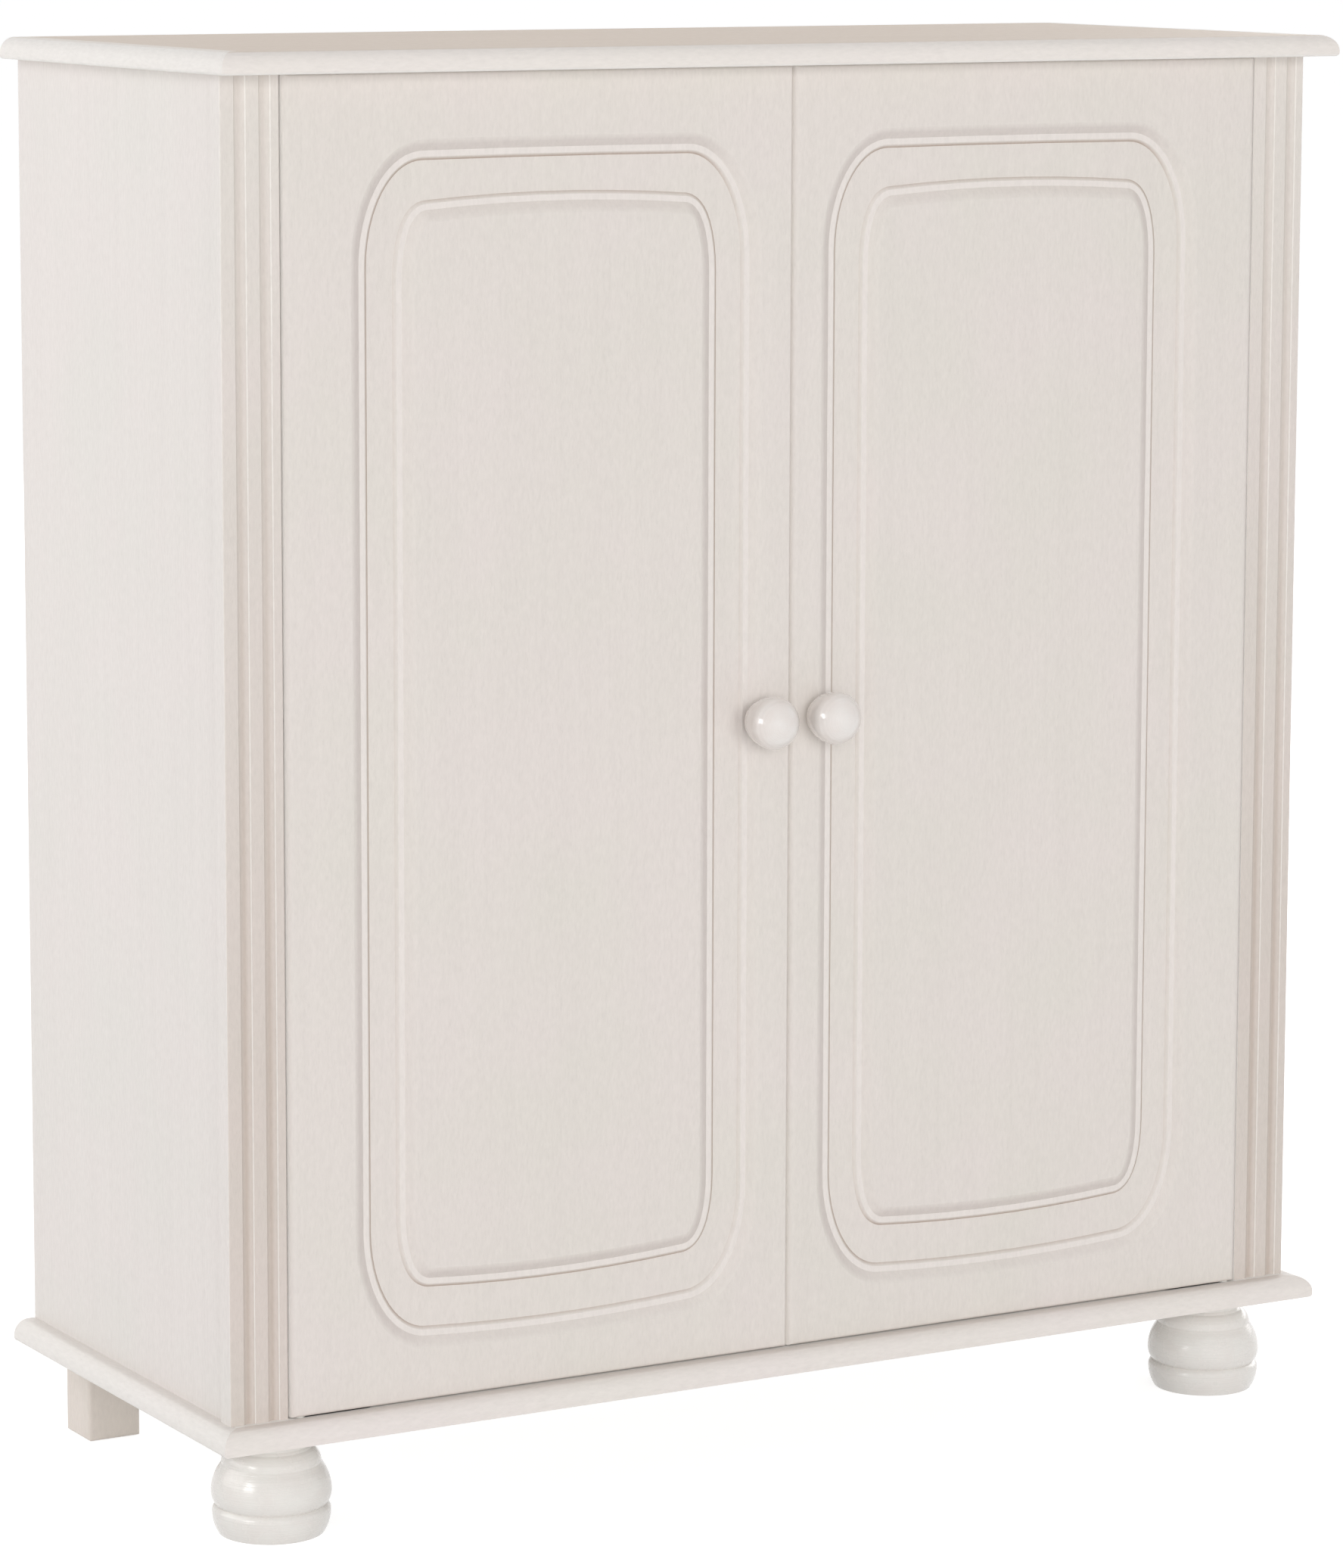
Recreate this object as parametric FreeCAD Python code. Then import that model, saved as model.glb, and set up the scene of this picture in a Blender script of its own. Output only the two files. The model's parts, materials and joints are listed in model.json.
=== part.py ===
import FreeCAD, Part
import math
import os

from FreeCAD import Vector

# A two-door highboard. X runs to the right, Y to the back, Z up, in millimetres.
# The origin is on the floor, in the middle of the width and of the depth over the knobs.

# Carcass and boards
overall_height = 1000.0
foot_height = 71.0
board_thickness = 15.0
carcass_width = 861.0
carcass_depth = 332.0
top_side_overhang = 11.0
top_front_overhang = 28.0
base_side_overhang = 14.0
base_front_overhang = 20.0
board_ovolo_radius = 11.0
board_arris_radius = 2.5

# Side panels, pilasters and back
side_thickness = 16.0
side_setback = 2.5
pilaster_width = 43.0
pilaster_thickness = 15.0
pilaster_outer_radius = 1.2
flute_width = 9.0
flute_depth = 2.4
flute_first_offset = 10.0
flute_pitch = 18.0
flute_count = 2
back_thickness = 3.0
back_rebate_width = 10.0
back_panel_play = 0.5

# Shelves
shelf_thickness = 16.0
shelf_front_gap = 9.0
shelf_end_play = 0.5
shelf_pin_diameter = 5.0
shelf_pin_length = 16.0
shelf_pin_seat = 8.0
shelf_pin_inset = 45.0
pin_hole_pitch = 32.0
pin_holes_each_way = 1

# Doors
door_thickness = 19.0
door_proud = 3.0
door_side_gap = 0.8
door_meeting_gap = 1.0
door_end_gap = 0.8
door_hinge_radius = 5.0
door_end_radius = 2.0
left_meeting_radius = 1.0
right_meeting_radius = 6.0

# Door relief: a channel with a flat floor between two stepped and rounded mouldings
relief_hinge_margin = 63.0
relief_meeting_margin = 37.5
relief_top_margin = 57.5
relief_bottom_margin = 46.0
relief_floor_depth = 6.0
relief_step_width = 2.4
relief_strip_depth = 4.2
relief_strip_width = 4.0
relief_round_width = 7.8
relief_round_sagitta = 0.45
channel_side_width = 19.0
channel_top_width = 23.0
channel_bottom_width = 26.5
outer_corner_width = 42.0
outer_corner_height = 70.0
outer_bow_top = 0.6
outer_bow_bottom = 4.0
field_corner_width = 12.0
field_corner_height = 39.0
field_bow = 4.5
tool_overlap = 4.0
tool_lift = 5.0

# Knobs
knob_radius = 18.2
knob_base_radius = 11.5
knob_projection = 36.5
knob_widest_at = 22.0
knob_shoulder_radius = 9.0
knob_from_meeting_edge = 24.5
knob_height = 535.0
knob_screw_diameter = 4.0
knob_screw_depth = 14.0
knob_screw_head_radius = 4.0
knob_screw_head_height = 2.5
knob_screw_play = 0.25

# Pivot hinges
pivot_edge_setback = 8.0
pivot_face_setback = 6.5
pivot_pin_diameter = 6.0
pivot_pin_embed = 5.0
pivot_pin_reach = 5.0
pivot_running_clearance = 0.05
pivot_bore_relief = 1.0
leaf_thickness = 2.5
leaf_width = 9.0
leaf_length = 58.0
leaf_corner_radius = 4.0
leaf_screw_spacing = 18.0
leaf_screw_first = 22.0
leaf_screw_count = 2
washer_radius = 4.5
washer_play = 0.1

# Countersunk screws
screw_diameter = 3.5
screw_head_diameter = 7.0
screw_head_height = 1.75
plate_screw_length = 12.0
leaf_screw_length = 20.0

# Magnetic catches
catch_from_middle = 62.0
catch_width = 40.0
catch_depth = 15.0
catch_height = 16.0
catch_edge_radius = 1.5
catch_screw_spacing = 30.0
catch_screw_length = 25.0
magnet_width = 20.0
magnet_depth = 9.0
magnet_height = 10.0
catch_gap = 0.4
strike_width = 34.0
strike_height = 12.0
strike_thickness = 1.0
strike_screw_length = 13.0

# Feet
bun_from_side = 46.0
bun_from_front = 34.0
bun_floor_radius = 36.0
bun_ring_radius = 40.4
bun_ring_at = 15.0
bun_groove_radius = 37.6
bun_groove_at = 19.6
bun_bulge_radius = 41.0
bun_bulge_at = 28.3
bun_shoulder_radius = 35.2
bun_shoulder_at = 46.5
bun_collar_radius = 34.0
bun_collar_at = 48.5
bun_cove_radius = 27.5
bun_cove_at = 58.5
bun_neck_radius = 26.0
bun_neck_at = 60.5
block_size = 40.0
block_from_side = 26.0
block_edge_radius = 2.5
foot_bolt_diameter = 8.0
foot_bolt_in_foot = 24.0
foot_bolt_in_board = 10.0

# Dowels and nails
carcass_dowel_diameter = 8.0
carcass_dowel_in_board = 10.0
carcass_dowel_in_panel = 20.0
carcass_dowel_inset = 60.0
shelf_dowel_in_panel = 10.0
shelf_dowel_in_shelf = 20.0
pilaster_dowel_diameter = 6.0
pilaster_dowel_in_pilaster = 8.0
pilaster_dowel_in_panel = 16.0
pilaster_dowel_inset = 75.0
nail_diameter = 2.0
nail_length = 16.0
nail_head_radius = 2.2
nail_head_height = 0.8
nail_end_inset = 50.0
nails_per_edge = 5

# Places that follow from the sizes above
overall_depth = carcass_depth + door_proud + knob_projection
y_back = overall_depth / 2
y_pilaster_front = y_back - carcass_depth
y_pilaster_back = y_pilaster_front + pilaster_thickness
y_door_front = y_pilaster_front - door_proud
y_door_back = y_door_front + door_thickness
y_back_panel = y_back - back_thickness
y_shelf_front = y_door_back + shelf_front_gap
z_base = foot_height
z_floor = foot_height + board_thickness
z_ceiling = overall_height - board_thickness
x_pilaster_outer = -carcass_width / 2
x_pilaster_inner = x_pilaster_outer + pilaster_width
x_side_outer = x_pilaster_outer + side_setback
x_side_inner = x_side_outer + side_thickness
x_door_outer = x_pilaster_inner + door_side_gap
x_door_meeting = -door_meeting_gap / 2
z_door_bottom = z_floor + door_end_gap
z_door_top = z_ceiling - door_end_gap
x_pivot = x_door_outer + pivot_edge_setback
y_pivot = y_door_front + pivot_face_setback
z_middle_shelf = (z_floor + z_ceiling - shelf_thickness) / 2
z_lower_shelf = (z_floor + z_middle_shelf - shelf_thickness) / 2
z_upper_shelf = (z_middle_shelf + shelf_thickness + z_ceiling - shelf_thickness) / 2
x_catch = -catch_from_middle
y_catch_front = y_door_back + strike_thickness + catch_gap
z_catch_bottom = z_ceiling - catch_height
z_strike = z_catch_bottom + strike_height / 2
left, right = -1, 1
lower, upper = -1, 1
board_names = {"top": "top_board", "bottom": "base_board"}

# Two points nearer than this are one
shortest_edge = 1e-6


def mirrored(shape):
    """The same piece on the other side of the cabinet's middle plane."""
    return shape.mirror(Vector(0, 0, 0), Vector(1, 0, 0))


def box(x0, y0, z0, x1, y1, z1):
    """A box between two corners."""
    return Part.makeBox(x1 - x0, y1 - y0, z1 - z0, Vector(x0, y0, z0))


def rod(radius, start, direction, length):
    """A round rod from a point along a direction."""
    return Part.makeCylinder(radius, length, start, direction)


def rounded_outline(corners):
    """A closed wire through (point, radius) corners, with a tangent arc at each that has a radius."""
    ends = []
    count = len(corners)
    for index, (point, radius) in enumerate(corners):
        before = (corners[index - 1][0] - point).normalize()
        after = (corners[(index + 1) % count][0] - point).normalize()
        half_angle = before.getAngle(after) / 2
        reach = radius / math.tan(half_angle)
        bisector = (before + after).normalize()
        centre = point + bisector * (radius / math.sin(half_angle))
        ends.append((point + before * reach, centre - bisector * radius, point + after * reach, radius))
    edges = []
    for index, (start, middle, end, radius) in enumerate(ends):
        if radius > 0:
            edges.append(Part.Arc(start, middle, end).toShape())
        following = ends[(index + 1) % count][0]
        if (following - end).Length > shortest_edge:
            edges.append(Part.LineSegment(end, following).toShape())
    return Part.Wire(edges)


def prism(corners, direction):
    """A rounded outline pushed along a direction."""
    return Part.Face(rounded_outline(corners)).extrude(direction)


def turned(edges, origin, axis):
    """A solid of revolution from the edges of a half section."""
    return Part.Face(Part.Wire(edges)).revolve(origin, axis, 360)


def line(start, end):
    return Part.LineSegment(start, end).toShape()


def arc(start, middle, end):
    return Part.Arc(start, middle, end).toShape()


def swell(narrow, wide, at):
    """An arc between two rings of a turned piece, each (radius, place along the axis), that runs along
    the axis at the wide one. The function at gives the point for a radius and a place."""
    spread = wide[0] - narrow[0]
    rise = wide[1] - narrow[1]
    radius = (spread ** 2 + rise ** 2) / (2 * spread)
    half = math.asin(rise / radius) / 2
    middle = at(wide[0] - radius * (1 - math.cos(half)), wide[1] - radius * math.sin(half))
    return arc(at(*narrow), middle, at(*wide))


def countersunk_screw(head, direction, length):
    """A screw with its flat head at a point and its shank along a direction."""
    cone = Part.makeCone(screw_head_diameter / 2, screw_diameter / 2, screw_head_height, head, direction)
    return cone.fuse(rod(screw_diameter / 2, head, direction, length)).removeSplitter()


def moulded_board(z0, side_overhang, front_overhang):
    """A board with a rounded moulding on its front and both ends, mitred at the front corners."""
    x1 = carcass_width / 2 + side_overhang
    y0 = y_pilaster_front - front_overhang
    z1 = z0 + board_thickness
    low, high = board_arris_radius, board_ovolo_radius
    lengthwise = prism([(Vector(-x1, y_back, z0), 0), (Vector(-x1, y0, z0), low),
                        (Vector(-x1, y0, z1), high), (Vector(-x1, y_back, z1), 0)], Vector(2 * x1, 0, 0))
    crosswise = prism([(Vector(-x1, y0, z0), low), (Vector(x1, y0, z0), low),
                       (Vector(x1, y0, z1), high), (Vector(-x1, y0, z1), high)], Vector(0, y_back - y0, 0))
    return lengthwise.common(crosswise)


def pilaster(x0):
    """A strip with two flutes along its front, both pilasters the same way round."""
    x1 = x0 + pilaster_width
    y0, y1 = y_pilaster_front, y_pilaster_back
    eased = pilaster_outer_radius
    height = z_ceiling - z_floor
    blank = prism([(Vector(x0, y0, z_floor), eased), (Vector(x1, y0, z_floor), eased),
                   (Vector(x1, y1, z_floor), 0), (Vector(x0, y1, z_floor), 0)], Vector(0, 0, height))
    radius = ((flute_width / 2) ** 2 + flute_depth ** 2) / (2 * flute_depth)
    for index in range(flute_count):
        x = x0 + flute_first_offset + flute_width / 2 + index * flute_pitch
        blank = blank.cut(rod(radius, Vector(x, y0 + flute_depth - radius, z_floor), Vector(0, 0, 1), height))
    return blank


def side_panel_blank():
    """The left side panel with its back rebate, before its holes are bored."""
    panel = box(x_side_outer, y_pilaster_back, z_floor, x_side_inner, y_back, z_ceiling)
    rebate = box(x_side_inner - back_rebate_width, y_back_panel, z_floor, x_side_inner, y_back, z_ceiling)
    return panel.cut(rebate)


def carcass_dowels():
    """Left-hand dowels between the side panel and both boards."""
    x = (x_side_outer + x_side_inner) / 2
    radius = carcass_dowel_diameter / 2
    length = carcass_dowel_in_board + carcass_dowel_in_panel
    dowels = []
    for y in (y_pilaster_back + carcass_dowel_inset, y_back - carcass_dowel_inset):
        dowels.append(rod(radius, Vector(x, y, z_floor - carcass_dowel_in_board), Vector(0, 0, 1), length))
        dowels.append(rod(radius, Vector(x, y, z_ceiling + carcass_dowel_in_board), Vector(0, 0, -1), length))
    return dowels


def shelf_dowels():
    """Left-hand dowels that carry the fixed shelf."""
    z = z_middle_shelf + shelf_thickness / 2
    start = x_side_inner - shelf_dowel_in_panel
    length = shelf_dowel_in_panel + shelf_dowel_in_shelf
    return [rod(carcass_dowel_diameter / 2, Vector(start, y, z), Vector(1, 0, 0), length)
            for y in (y_pilaster_back + carcass_dowel_inset, y_back - carcass_dowel_inset)]


def pilaster_dowels():
    """Left-hand dowels between the pilaster and the front edge of the side panel."""
    x = (x_side_outer + x_side_inner) / 2
    start = y_pilaster_back - pilaster_dowel_in_pilaster
    length = pilaster_dowel_in_pilaster + pilaster_dowel_in_panel
    heights = (z_floor + pilaster_dowel_inset, (z_floor + z_ceiling) / 2, z_ceiling - pilaster_dowel_inset)
    return [rod(pilaster_dowel_diameter / 2, Vector(x, start, z), Vector(0, 1, 0), length) for z in heights]


def shelf_pin_rows():
    """Where the left-hand shelf pins sit: (y, z) of each."""
    rows = (y_pilaster_back + shelf_pin_inset, y_back_panel - shelf_pin_inset)
    return [(y, z - shelf_pin_diameter / 2) for y in rows for z in (z_lower_shelf, z_upper_shelf)]


def shelf_pins():
    """Left-hand shelf pins, each half in its hole."""
    start = x_side_inner - shelf_pin_seat
    return [rod(shelf_pin_diameter / 2, Vector(start, y, z), Vector(1, 0, 0), shelf_pin_length)
            for y, z in shelf_pin_rows()]


def shelf_pin_holes():
    """Rows of holes in the left side panel, above and below each pin too."""
    x = x_side_inner - shelf_pin_seat
    rises = [step * pin_hole_pitch for step in range(-pin_holes_each_way, pin_holes_each_way + 1)]
    return [rod(shelf_pin_diameter / 2, Vector(x, y, z + rise), Vector(1, 0, 0), shelf_pin_seat)
            for y, z in shelf_pin_rows() for rise in rises]


def loose_shelf(z):
    return box(x_side_inner + shelf_end_play, y_shelf_front, z,
               -x_side_inner - shelf_end_play, y_back_panel - shelf_end_play, z + shelf_thickness)


def fixed_shelf_blank():
    return box(x_side_inner, y_shelf_front, z_middle_shelf, -x_side_inner, y_back_panel,
               z_middle_shelf + shelf_thickness)


def back_panel_blank():
    reach = -x_side_inner + back_rebate_width - back_panel_play
    return box(-reach, y_back_panel, z_floor + back_panel_play, reach, y_back, z_ceiling - back_panel_play)


def nail(x, z):
    """A nail driven forwards from the back of the cabinet, its head flush."""
    start = Vector(x, y_back, z)
    forwards = Vector(0, -1, 0)
    head = rod(nail_head_radius, start, forwards, nail_head_height)
    return head.fuse(rod(nail_diameter / 2, start, forwards, nail_length)).removeSplitter()


def back_nails():
    """Nails along both side panels and along the fixed shelf."""
    x_edge = x_side_inner - (back_rebate_width - back_panel_play) / 2
    low, high = z_floor + nail_end_inset, z_ceiling - nail_end_inset
    nails = []
    for index in range(nails_per_edge):
        share = index / (nails_per_edge - 1)
        z = low + share * (high - low)
        nails += [nail(x_edge, z), nail(-x_edge, z)]
        x = (x_side_inner + nail_end_inset) * (1 - 2 * share)
        nails.append(nail(x, z_middle_shelf + shelf_thickness / 2))
    return nails


def outline_corner(x, z, width, height, side, up, bow):
    """One elliptical corner of a panel outline, and the point where its flatter end stops."""
    centre = Vector(x, 0, z)
    top = centre + Vector(0, 0, up * height)
    flank = centre + Vector(side * width, 0, 0)
    start = math.atan(width / height * math.tan(math.radians(bow)))
    ellipse = Part.Ellipse(top, flank, centre)
    return Part.ArcOfEllipse(ellipse, start, math.pi / 2).toShape(), ellipse.value(start)


def panel_outline(x0, x1, z0, z1, corner_width, corner_height, bow_bottom, bow_top):
    """A tall outline with elliptical corners, straight sides and ends that bow outwards by an angle at
    each corner. It lies in the plane y = 0 and starts at the foot of its side at x1."""
    middle = (x0 + x1) / 2
    edges = []
    flank_ends = {}
    for up, apex, bow in ((lower, z0, bow_bottom), (upper, z1, bow_top)):
        angle = math.radians(bow)
        start = math.atan(corner_width / corner_height * math.tan(angle))
        half_chord = (x1 - x0) / 2 - corner_width * (1 - math.sin(start))
        rise = half_chord * math.tan(angle / 2)
        z = apex - up * (rise + corner_height * math.cos(start))
        stops = {}
        for side, x in ((left, x0 + corner_width), (right, x1 - corner_width)):
            edge, stops[side] = outline_corner(x, z, corner_width, corner_height, side, up, bow)
            edges.append(edge)
        edges.append(arc(stops[left], Vector(middle, 0, apex), stops[right]))
        flank_ends[up] = z
    for x in (x0, x1):
        edges.append(line(Vector(x, 0, flank_ends[lower]), Vector(x, 0, flank_ends[upper])))
    start_point = Vector(x1, 0, flank_ends[lower])
    return Part.Wire(Part.__sortEdges__(edges[::-1])), start_point


def relief_width():
    """How wide a moulding is, from the channel's floor to the face."""
    return relief_step_width + relief_strip_width + relief_round_width


def relief_section(origin, round_first):
    """The section that a moulding cuts away, as (outwards, depth) from the channel's floor: a sloping step up
    to a flat strip and a rounding up to the face. It starts at a point on the moulding's path. The field's
    moulding starts there with the rounding, and the frame's ends with it."""
    step_end = relief_step_width
    strip_end = step_end + relief_strip_width
    full = relief_width()

    def at(outwards, depth):
        place = full - outwards if round_first else outwards
        return origin + Vector(place, depth, 0)

    foot, step = at(0, relief_floor_depth), at(step_end, relief_strip_depth)
    strip, face = at(strip_end, relief_strip_depth), at(full, 0)
    chord = face - strip
    normal = Vector(0, 0, 1).cross(chord).normalize()
    if normal.y > 0:
        normal = normal * -1
    bulge = (strip + face) * 0.5 + normal * relief_round_sagitta
    inner_floor, inner_top = at(-tool_overlap, relief_floor_depth), at(-tool_overlap, -tool_lift)
    outer_top = at(full, -tool_lift)
    return Part.Wire([line(inner_floor, foot), line(foot, step), line(step, strip), arc(strip, bulge, face),
                      line(face, outer_top), line(outer_top, inner_top), line(inner_top, inner_floor)])


def relief_moulding(path, start_point, round_first):
    """A moulding's cutter: its section carried round a closed path."""
    sweep = Part.BRepOffsetAPI.MakePipeShell(path)
    sweep.setBiNormalMode(Vector(0, 1, 0))
    sweep.add(relief_section(start_point, round_first), False, False)
    sweep.build()
    sweep.makeSolid()
    return sweep.shape()


def relief_cutters():
    """The two mouldings and the channel's floor, in the plane of the left door's face."""
    x0 = x_door_outer + relief_hinge_margin
    x1 = x_door_meeting - relief_meeting_margin
    z0 = z_door_bottom + relief_bottom_margin
    z1 = z_door_top - relief_top_margin
    moulding = relief_width()
    outer = (x0, x1, z0, z1, outer_corner_width, outer_corner_height, outer_bow_bottom, outer_bow_top)
    inset = channel_side_width + moulding
    field = (x0 + inset, x1 - inset, z0 + channel_bottom_width + moulding, z1 - channel_top_width - moulding,
             field_corner_width, field_corner_height, field_bow, field_bow)
    outer_path, outer_start = panel_outline(*outer)
    field_path, field_start = panel_outline(*field)
    inside = tool_overlap / 2
    beside = moulding + inside
    floor_outer, _ = panel_outline(x0 + inside, x1 - inside, z0 + inside, z1 - inside,
                                   outer_corner_width - inside, outer_corner_height - inside,
                                   outer_bow_bottom, outer_bow_top)
    floor_inner, _ = panel_outline(field[0] - beside, field[1] + beside, field[2] - beside, field[3] + beside,
                                   field_corner_width + beside, field_corner_height + beside,
                                   field_bow, field_bow)
    floor = Part.Face(floor_outer).cut(Part.Face(floor_inner))
    floor.translate(Vector(0, relief_floor_depth, 0))
    channel = floor.extrude(Vector(0, -relief_floor_depth - tool_lift, 0))
    frame_moulding = relief_moulding(outer_path, outer_start, False)
    field_moulding = relief_moulding(field_path, field_start, True)
    return [frame_moulding, field_moulding, channel]


def door_blank(meeting_radius):
    """A left-hand door's slab, rounded along the edges of its face, with the relief cut in."""
    x0, x1 = x_door_outer, x_door_meeting
    z0, z1 = z_door_bottom, z_door_top
    y0, y1 = y_door_front, y_door_back
    across = prism([(Vector(x0, y0, z0), door_hinge_radius), (Vector(x1, y0, z0), meeting_radius),
                    (Vector(x1, y1, z0), 0), (Vector(x0, y1, z0), 0)], Vector(0, 0, z1 - z0))
    upright = prism([(Vector(x0, y0, z0), door_end_radius), (Vector(x0, y1, z0), 0),
                     (Vector(x0, y1, z1), 0), (Vector(x0, y0, z1), door_end_radius)], Vector(x1 - x0, 0, 0))
    slab = across.common(upright)
    for cutter in relief_cutters():
        cutter.translate(Vector(0, y_door_front, 0))
        slab = slab.cut(cutter)
    return slab.removeSplitter()


def pivot_ends():
    """The left door's two pivots: name, the board's face, the door's end and the way into the door."""
    return (("top", z_ceiling, z_door_top, lower), ("bottom", z_floor, z_door_bottom, upper))


def pivot_leaf(z, height):
    """A hinge leaf's plate on the pivot, running from the door's outer edge inwards."""
    x0 = x_pivot - leaf_width / 2
    x1 = x0 + leaf_length
    y0, y1 = y_pivot - leaf_width / 2, y_pivot + leaf_width / 2
    radius = leaf_corner_radius
    return prism([(Vector(x0, y0, z), radius), (Vector(x1, y0, z), radius),
                  (Vector(x1, y1, z), radius), (Vector(x0, y1, z), radius)], Vector(0, 0, height))


def leaf_screws(z, direction, length):
    """The countersunk screws of one leaf, heads at its open face."""
    x0 = x_pivot - leaf_width / 2 + leaf_screw_first
    places = [Vector(x0 + index * leaf_screw_spacing, y_pivot, z) for index in range(leaf_screw_count)]
    return [countersunk_screw(place, Vector(0, 0, direction), length) for place in places]


def pivot_pin(z_board, into_door):
    """A pin from inside the board, through both leaves and into the door."""
    start = Vector(x_pivot, y_pivot, z_board - into_door * (leaf_thickness + pivot_pin_embed))
    length = pivot_pin_embed + 2 * leaf_thickness + door_end_gap + pivot_pin_reach
    return rod(pivot_pin_diameter / 2, start, Vector(0, 0, into_door), length)


def pivot_washer(z_board, into_door):
    """A washer round the pin, lying on the board's plate."""
    start = Vector(x_pivot, y_pivot, z_board)
    up = Vector(0, 0, into_door)
    height = door_end_gap - washer_play
    hole = rod(pivot_pin_diameter / 2 + pivot_running_clearance, start, up, height)
    return rod(washer_radius, start, up, height).cut(hole)


def door_pin_bore(z_door, into_door):
    """Room for the pin's end in the door, wider than the leaf's own bore."""
    depth = leaf_thickness + pivot_pin_reach + pivot_bore_relief
    return rod(pivot_pin_diameter / 2 + pivot_bore_relief, Vector(x_pivot, y_pivot, z_door),
               Vector(0, 0, into_door), depth)


def catch_housing_blank():
    """The left catch's housing, under the top board behind the door."""
    x0, x1 = x_catch - catch_width / 2, x_catch + catch_width / 2
    y0, y1 = y_catch_front, y_catch_front + catch_depth
    radius = catch_edge_radius
    return prism([(Vector(x0, y0, z_catch_bottom), radius), (Vector(x1, y0, z_catch_bottom), radius),
                  (Vector(x1, y1, z_catch_bottom), radius), (Vector(x0, y1, z_catch_bottom), radius)],
                 Vector(0, 0, catch_height))


def catch_magnet():
    """The left magnet, flush with the front of its housing."""
    z = z_strike - magnet_height / 2
    return box(x_catch - magnet_width / 2, y_catch_front, z,
               x_catch + magnet_width / 2, y_catch_front + magnet_depth, z + magnet_height)


def catch_screws():
    """The left catch's screws, up through the housing into the top board."""
    y = y_catch_front + catch_depth / 2
    return [countersunk_screw(Vector(x_catch + side * catch_screw_spacing / 2, y, z_catch_bottom),
                              Vector(0, 0, 1), catch_screw_length) for side in (left, right)]


def strike_plate_blank():
    """The left door's strike plate, on the back of the door in front of the magnet."""
    return box(x_catch - strike_width / 2, y_door_back, z_strike - strike_height / 2,
               x_catch + strike_width / 2, y_door_back + strike_thickness, z_strike + strike_height / 2)


def strike_screw():
    """The strike plate's screw: a thin flat head, sunk through the plate into the door."""
    start = Vector(x_catch, y_door_back + strike_thickness, z_strike)
    return countersunk_screw(start, Vector(0, -1, 0), strike_screw_length)


def knob_centre():
    """The point on the left door's face behind its knob."""
    return Vector(x_door_meeting - knob_from_meeting_edge, y_door_front, knob_height)


def knob_blank():
    """A turned knob: a round that swells from its base to its widest ring, a shoulder and a domed front."""
    origin = knob_centre()
    shoulder = knob_shoulder_radius
    dome_height = knob_projection - knob_widest_at
    reach = knob_radius - shoulder
    dome_radius = (dome_height ** 2 + reach ** 2 - shoulder ** 2) / (2 * (dome_height - shoulder))
    lean = math.asin(reach / (dome_radius - shoulder))

    def at(radius, forwards):
        return origin + Vector(radius, -forwards, 0)

    def on_shoulder(angle):
        return at(reach + shoulder * math.sin(angle), knob_widest_at + shoulder * math.cos(angle))

    def on_dome(angle):
        return at(dome_radius * math.sin(angle), knob_projection - dome_radius * (1 - math.cos(angle)))

    widest = at(knob_radius, knob_widest_at)
    edges = [line(at(0, 0), at(knob_base_radius, 0)),
             swell((knob_base_radius, 0), (knob_radius, knob_widest_at), at),
             arc(widest, on_shoulder((lean + math.pi / 2) / 2), on_shoulder(lean)),
             arc(on_dome(lean), on_dome(lean / 2), at(0, knob_projection)),
             line(at(0, knob_projection), at(0, 0))]
    return turned(edges, origin, Vector(0, 1, 0))


def knob_screw():
    """The screw from the back of the door into the knob."""
    start = knob_centre() + Vector(0, door_thickness, 0)
    forwards = Vector(0, -1, 0)
    head_top = start + Vector(0, knob_screw_head_height, 0)
    head = rod(knob_screw_head_radius, head_top, forwards, knob_screw_head_height)
    shank = rod(knob_screw_diameter / 2, start, forwards, door_thickness + knob_screw_depth)
    return head.fuse(shank).removeSplitter()


def bun_foot_centre():
    return Vector(x_pilaster_outer + bun_from_side, y_pilaster_front + bun_from_front, 0)


def bun_foot_blank():
    """A turned front foot: a floor ring, a groove, a bulge, a collar and a neck."""
    origin = bun_foot_centre()

    def at(radius, z):
        return origin + Vector(radius, 0, z)

    floor = (bun_floor_radius, 0)
    ring = (bun_ring_radius, bun_ring_at)
    groove = (bun_groove_radius, bun_groove_at)
    bulge = (bun_bulge_radius, bun_bulge_at)
    shoulder = (bun_shoulder_radius, bun_shoulder_at)
    collar = (bun_collar_radius, bun_collar_at)
    cove = (bun_cove_radius, bun_cove_at)
    edges = [line(at(0, 0), at(*floor)),
             swell(floor, ring, at),
             swell(groove, ring, at),
             swell(groove, bulge, at),
             swell(shoulder, bulge, at),
             line(at(*shoulder), at(*collar)),
             swell(cove, collar, at),
             line(at(*cove), at(bun_neck_radius, bun_neck_at)),
             line(at(bun_neck_radius, bun_neck_at), at(bun_neck_radius, foot_height)),
             line(at(bun_neck_radius, foot_height), at(0, foot_height)),
             line(at(0, foot_height), at(0, 0))]
    return turned(edges, origin, Vector(0, 0, 1))


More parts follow.
